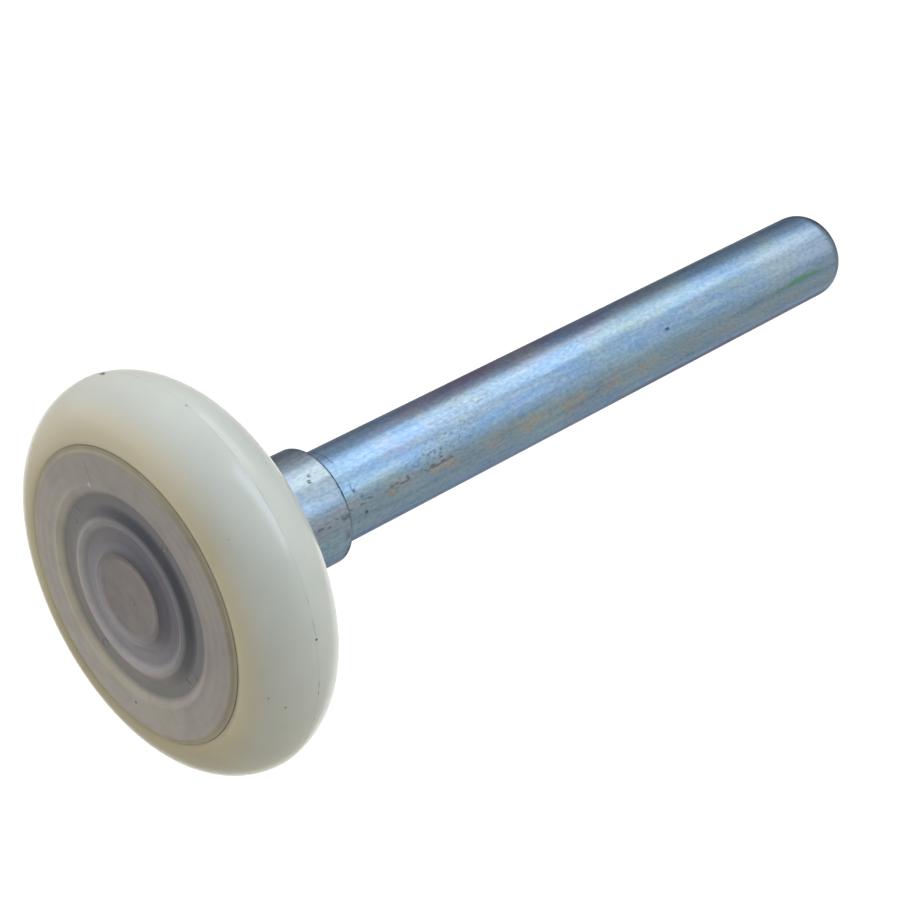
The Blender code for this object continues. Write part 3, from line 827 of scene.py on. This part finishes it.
def make_cage(steel):
    """The two wavy halves of the ribbon cage and the rivets between the pockets."""
    inner_radius = BALL_RADIUS + 0.12 * MM
    outer_radius = inner_radius + CAGE_SHEET
    split = 0.03 * MM
    half_width = 0.9 * MM
    steps = 22
    for name, node, side in (("ribbon_rear", "cage_rear", 1), ("ribbon_front", "cage_front", -1)):
        shape = bmesh.new()
        sections = []
        for index in range(BALL_COUNT):
            middle = math.tau * index / BALL_COUNT
            start_in = math.asin(split / inner_radius)
            start_out = math.asin((split + CAGE_SHEET) / outer_radius)
            for i in range(steps + 1):
                a_in = start_in + (math.pi - 2 * start_in) * i / steps
                a_out = start_out + (math.pi - 2 * start_out) * i / steps
                near = (inner_radius * math.cos(a_in), inner_radius * math.sin(a_in))
                far = (outer_radius * math.cos(a_out), outer_radius * math.sin(a_out))
                ring = []
                for radius, (along, y) in (
                    (PITCH_RADIUS - half_width, near),
                    (PITCH_RADIUS - half_width, far),
                    (PITCH_RADIUS + half_width, far),
                    (PITCH_RADIUS + half_width, near),
                ):
                    angle = middle - along / PITCH_RADIUS
                    point = (radius * math.cos(angle), BEARING_Y + side * y, radius * math.sin(angle))
                    ring.append(shape.verts.new(point))
                sections.append(ring)
        for here, there in zip(sections, sections[1:] + sections[:1]):
            for k in range(4):
                nxt = (k + 1) % 4
                shape.faces.new((here[k], here[nxt], there[nxt], there[k]))
        half = dress(object_from(name, shape, "ball_cage", node), steel)
        soften = half.modifiers.new("edges", "BEVEL")
        soften.width = 0.05 * MM
        soften.segments = 2
        soften.limit_method = "ANGLE"
        soften.angle_limit = math.radians(50)
    head = split + CAGE_SHEET
    outline = [
        (0.0, head + 0.32 * MM),
        (0.35 * MM, head + 0.3 * MM),
        (0.65 * MM, head + 0.18 * MM),
        (0.8 * MM, head),
    ]
    outline = outline + [(radius, -y) for radius, y in reversed(outline)]
    shape = turned(outline, SMALL_STEPS)
    mesh = bpy.data.meshes.new("rivet")
    bmesh.ops.recalc_face_normals(shape, faces=shape.faces)
    shape.to_mesh(mesh)
    shape.free()
    mesh.shade_smooth()
    mesh.set_sharp_from_angle(angle=SHARP_ANGLE)
    mesh.materials.append(steel)
    for i in range(1, BALL_COUNT + 1):
        low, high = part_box(f"cage_rivet_{i}")
        where = Matrix.Translation((low + high) / 2)
        placed(f"rivet_{i}", mesh, "ball_cage", f"cage_rivet_{i}", where)


# ---------------------------------------------------------------- the stem


def make_stem():
    """Bar stock with a rounded tip, turned down through the bearing and swaged over at its front end."""
    shoulder = COLLAR_LOW.y
    tip = STEM_HIGH.y
    round_length = 2.7 * MM
    round_depth = 1.9 * MM
    front = STEM_LOW.y
    outline = rounded(
        [
            (0.0, front + 0.25 * MM),
            (2.2 * MM, front + 0.12 * MM),
            (SWAGE_RADIUS, front),
            (JOURNAL_RADIUS, front + 0.9 * MM),
            (JOURNAL_RADIUS, shoulder),
            (STEM_RADIUS, shoulder),
            (STEM_RADIUS, tip - 2 * round_length),
        ],
        [0.0, 0.6 * MM, 0.15 * MM, 0.3 * MM, 0.1 * MM, 0.15 * MM, 0.0],
    )
    run = tip - 2 * round_length - shoulder
    body = [(STEM_RADIUS, shoulder + 1 * MM + (run - 2 * MM) * i / 40) for i in range(41)]
    outline = outline[:-1] + body
    steps = 28
    for i in range(steps + 1):
        angle = math.pi / 2 * i / steps
        radius = STEM_RADIUS - round_depth * (1 - math.cos(angle))
        outline.append((radius, tip - round_length * (1 - math.sin(angle))))
    outline += [(2.2 * MM, tip), (0.0, tip)]
    stem = object_from("zinc_stem", turned(outline, RING_STEPS), "stem_assembly", "stem")
    return dress(stem, zinc_plate("zinc_plated_bar", tip))


def make_collar():
    low, high = COLLAR_LOW.y, COLLAR_HIGH.y
    bore = STEM_RADIUS + 0.06 * MM
    outline = rounded(
        [
            (bore, low),
            (COLLAR_RADIUS, low),
            (COLLAR_RADIUS, (low + high) / 2),
            (COLLAR_RADIUS, high),
            (bore, high),
        ],
        [0.1 * MM, 0.35 * MM, 0.0, 0.42 * MM, 0.15 * MM],
        8,
    )
    collar = object_from("zinc_collar", turned(outline, RING_STEPS), "stem_assembly", "collar")
    return dress(collar, zinc_plate("zinc_plated_sleeve"))


# ---------------------------------------------------------------- studio


def look_at(obj, target):
    obj.rotation_euler = (Vector(target) - obj.location).to_track_quat("-Z", "Y").to_euler()


def softbox(name, place, target, size, power, colour):
    light = bpy.data.lights.new(name, "AREA")
    light.shape = "RECTANGLE"
    light.size, light.size_y = size
    light.energy = power
    light.color = colour
    obj = bpy.data.objects.new(name, light)
    obj.location = place
    bpy.context.scene.collection.objects.link(obj)
    look_at(obj, target)
    return obj


def make_floor():
    drop = 0.5
    shape = bmesh.new()
    bmesh.ops.create_grid(shape, x_segments=8, y_segments=8, size=60.0)
    mesh = bpy.data.meshes.new("floor")
    shape.to_mesh(mesh)
    shape.free()
    floor = bpy.data.objects.new("floor", mesh)
    floor.location = (0, 0, -drop)
    bpy.context.scene.collection.objects.link(floor)
    f = Finish("pale_paper", roughness=0.95)
    tone = f.ramp(f.noise(3.0, 2), [(0.3, (0.66, 0.62, 0.55, 1)), (0.7, (0.68, 0.64, 0.57, 1))])
    mesh.materials.append(f.finish(tone))


def make_world():
    """A soft dome of four broad panels of light: overhead, at the left, behind right and in front left."""
    world = bpy.data.worlds.new("soft_dome")
    bpy.context.scene.world = world
    world.use_nodes = True
    tree = world.node_tree
    place = tree.nodes.new("ShaderNodeTexCoord")
    total = None
    for direction, sharpness, light in (
        ((0.0, 0.0, 1.0), 2, (1.22, 1.24, 1.22)),
        ((-1.0, 0.0, 0.0), 2, (0.72, 0.66, 0.60)),
        ((0.69, 0.69, 0.21), 4, (0.86, 0.86, 0.78)),
        ((-0.69, -0.69, 0.21), 4, (0.62, 0.62, 0.60)),
    ):
        facing = tree.nodes.new("ShaderNodeVectorMath")
        facing.operation = "DOT_PRODUCT"
        facing.inputs[1].default_value = direction
        tree.links.new(place.outputs["Generated"], facing.inputs[0])
        front = tree.nodes.new("ShaderNodeMath")
        front.operation = "MAXIMUM"
        tree.links.new(facing.outputs["Value"], front.inputs[0])
        front.inputs[1].default_value = 0.0
        falloff = tree.nodes.new("ShaderNodeMath")
        falloff.operation = "POWER"
        tree.links.new(front.outputs[0], falloff.inputs[0])
        falloff.inputs[1].default_value = sharpness
        panel = tree.nodes.new("ShaderNodeVectorMath")
        panel.operation = "SCALE"
        panel.inputs[0].default_value = light
        tree.links.new(falloff.outputs[0], panel.inputs["Scale"])
        if total is None:
            total = panel.outputs[0]
            continue
        added = tree.nodes.new("ShaderNodeVectorMath")
        added.operation = "ADD"
        tree.links.new(total, added.inputs[0])
        tree.links.new(panel.outputs[0], added.inputs[1])
        total = added.outputs[0]
    tree.links.new(total, tree.nodes["Background"].inputs["Color"])


def make_camera():
    """A long lens, 46 degrees round from the capped face and 32 degrees up."""
    azimuth = math.radians(45.8)
    elevation = math.radians(31.9)
    distance = 0.2717
    aim = Vector((0.0023, 0.0190, 0.0))
    level = math.cos(elevation)
    away = Vector((math.sin(azimuth) * level, -math.cos(azimuth) * level, math.sin(elevation)))
    lens = bpy.data.cameras.new("camera")
    lens.lens = 95.0
    lens.clip_start = 0.01
    camera = bpy.data.objects.new("camera", lens)
    camera.location = aim + away * distance
    bpy.context.scene.collection.objects.link(camera)
    look_at(camera, aim)
    bpy.context.scene.camera = camera


def floor_wash(place, target, spread, power, colour):
    """A wide soft spot on the floor behind the roller, clear of the roller itself."""
    light = bpy.data.lights.new("floor_wash", "SPOT")
    light.energy = power
    light.color = colour
    light.spot_size = math.radians(spread)
    light.spot_blend = 0.3
    light.shadow_soft_size = 0.1
    obj = bpy.data.objects.new("floor_wash", light)
    obj.location = place
    bpy.context.scene.collection.objects.link(obj)
    look_at(obj, target)


def make_studio():
    make_floor()
    make_world()
    middle = Vector((0, 0.03, 0))
    softbox("key", middle + Vector((-0.05, 0.36, 0.48)), middle, (0.40, 0.24), 0.44, (0.98, 1.0, 0.96))
    softbox("strip", middle + Vector((0.48, 0.22, 0.60)), middle, (0.24, 0.70), 1.6, (0.56, 0.75, 1.0))
    floor_wash((-0.7, 0.75, 2.0), (-0.7, 0.75, -0.5), 38, 280.0, (0.78, 0.86, 1.0))
    make_camera()
    bpy.context.scene.view_settings.view_transform = "Standard"


def main():
    make_tyre()
    plastic = cap_plastic()
    make_cap(plastic)
    make_mould_marks(pale_plastic())
    make_rings(turned_steel("ground_steel", paint(196, 196, 200), 0.16))
    make_shields(turned_steel("pressed_steel", paint(178, 184, 190), 0.22, 900.0))
    make_balls(turned_steel("polished_steel", paint(214, 214, 218), 0.06, 400.0))
    make_cage(turned_steel("strip_steel", paint(176, 170, 160), 0.30, 1200.0))
    make_collar()
    make_stem()
    make_studio()


main()
